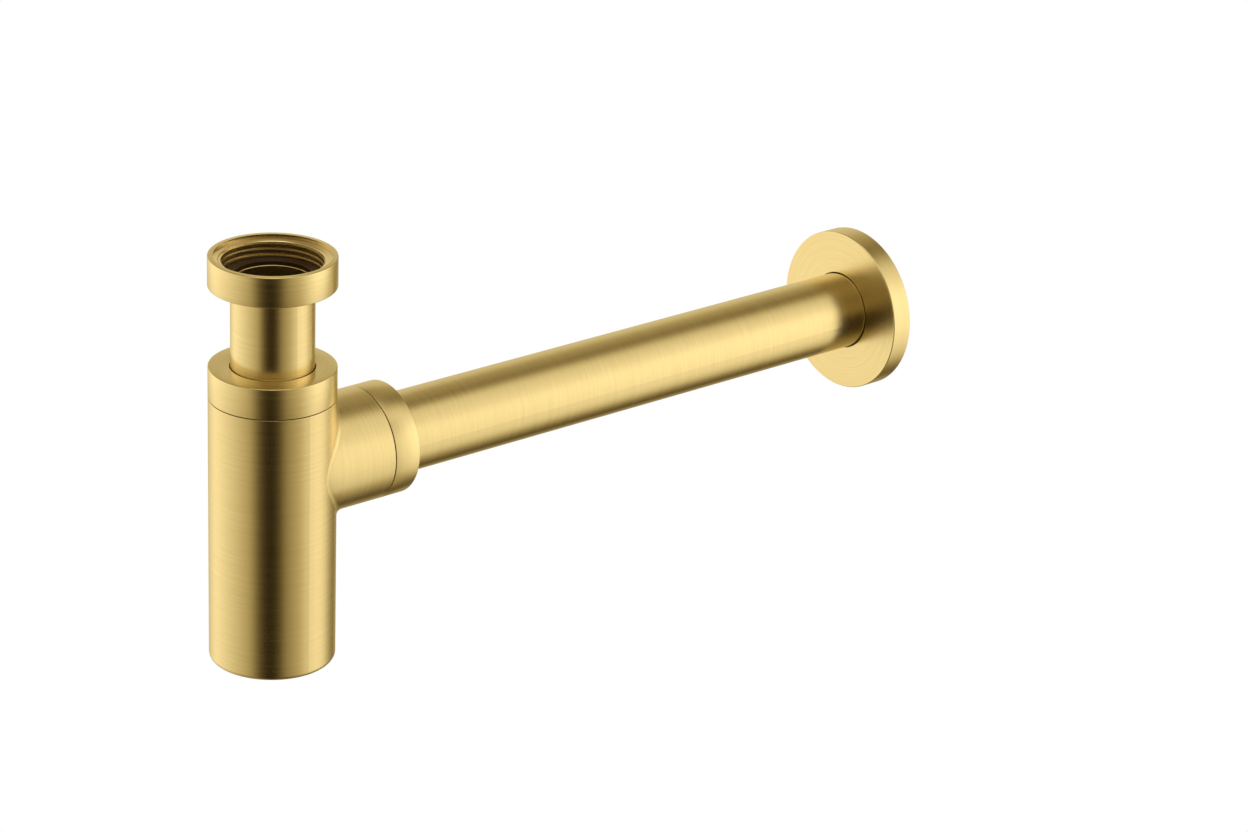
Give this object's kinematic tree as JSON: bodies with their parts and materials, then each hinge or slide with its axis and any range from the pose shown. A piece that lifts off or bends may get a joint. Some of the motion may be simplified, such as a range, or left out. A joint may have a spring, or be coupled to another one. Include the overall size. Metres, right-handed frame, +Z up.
{
  "type": "basin bottle trap",
  "caption": "Round bottle trap in brushed brass: union nut on a dip tube, compression cap, plain bottle, side branch with compression nut, pipe to the wall and round flange.",
  "frame": {"origin": "on the inlet axis at the top of the inlet washer, where the tail of the basin waste seats", "axes": "+Z up along the inlet, +Y along the outlet towards the wall"},
  "size_m": [0.068, 0.3382, 0.1656],
  "materials": {
    "brushed_brass": "brushed gold-toned brass, fine turned lines round each piece",
    "black_rubber": "matt black sealing rubber",
    "brown_rubber": "matt red-brown washer rubber",
    "white_plastic": "natural white plastic"
  },
  "bodies": {
    "trap": {"trap_body": "brushed_brass", "outlet_cone_seal": "black_rubber"},
    "inlet_seal": {"inlet_cone_seal": "black_rubber"},
    "inlet": {"inlet_tube": "brushed_brass", "inlet_washer": "brown_rubber"},
    "inlet_nut": {"inlet_nut": "brushed_brass"},
    "cap_ring": {"cap_slip_ring": "white_plastic"},
    "cap": {"cap_nut": "brushed_brass"},
    "outlet_ring": {"outlet_slip_ring": "white_plastic"},
    "outlet_nut": {"outlet_nut": "brushed_brass"},
    "outlet": {"outlet_pipe": "brushed_brass"},
    "flange": {"wall_flange": "brushed_brass", "flange_o_ring": "black_rubber"}
  },
  "joints": [
    {"name": "inlet_swivel", "type": "hinge", "parent": "trap", "child": "inlet_seal", "pos_m": [0, 0, -0.04], "axis": [0, 0, 1], "continuous": true},
    {"name": "inlet_slide", "type": "slide", "parent": "inlet_seal", "child": "inlet", "axis": [0, 0, 1], "range_m": [-0.008, 0.02]},
    {"name": "inlet_nut_turn", "type": "hinge", "parent": "inlet", "child": "inlet_nut", "pos_m": [0, 0, 0], "axis": [0, 0, 1], "continuous": true},
    {"name": "cap_travel", "type": "slide", "parent": "trap", "child": "cap_ring", "axis": [0, 0, 1], "range_m": [0, 0.0071]},
    {"name": "cap_turn", "type": "hinge", "parent": "cap_ring", "child": "cap", "pos_m": [0, 0, -0.0364], "axis": [0, 0, 1], "range_deg": [0, 1260]},
    {"name": "outlet_nut_travel", "type": "slide", "parent": "trap", "child": "outlet_ring", "axis": [0, 1, 0], "range_m": [0, 0.0061]},
    {"name": "outlet_nut_turn", "type": "hinge", "parent": "outlet_ring", "child": "outlet_nut", "pos_m": [0, 0.0536, -0.0785], "axis": [0, 1, 0], "range_deg": [0, 1440]},
    {"name": "outlet_slide", "type": "slide", "parent": "trap", "child": "outlet", "axis": [0, 1, 0], "range_m": [-0.008, 0.01]},
    {"name": "flange_slide", "type": "slide", "parent": "outlet", "child": "flange", "axis": [0, 1, 0], "range_m": [-0.22, 0.008]}
  ],
  "couplings": [
    {"joint": "cap_travel", "follows": "cap_turn", "m_per_rad": 0.00031831},
    {"joint": "outlet_nut_travel", "follows": "outlet_nut_turn", "m_per_rad": 0.00023873}
  ]
}
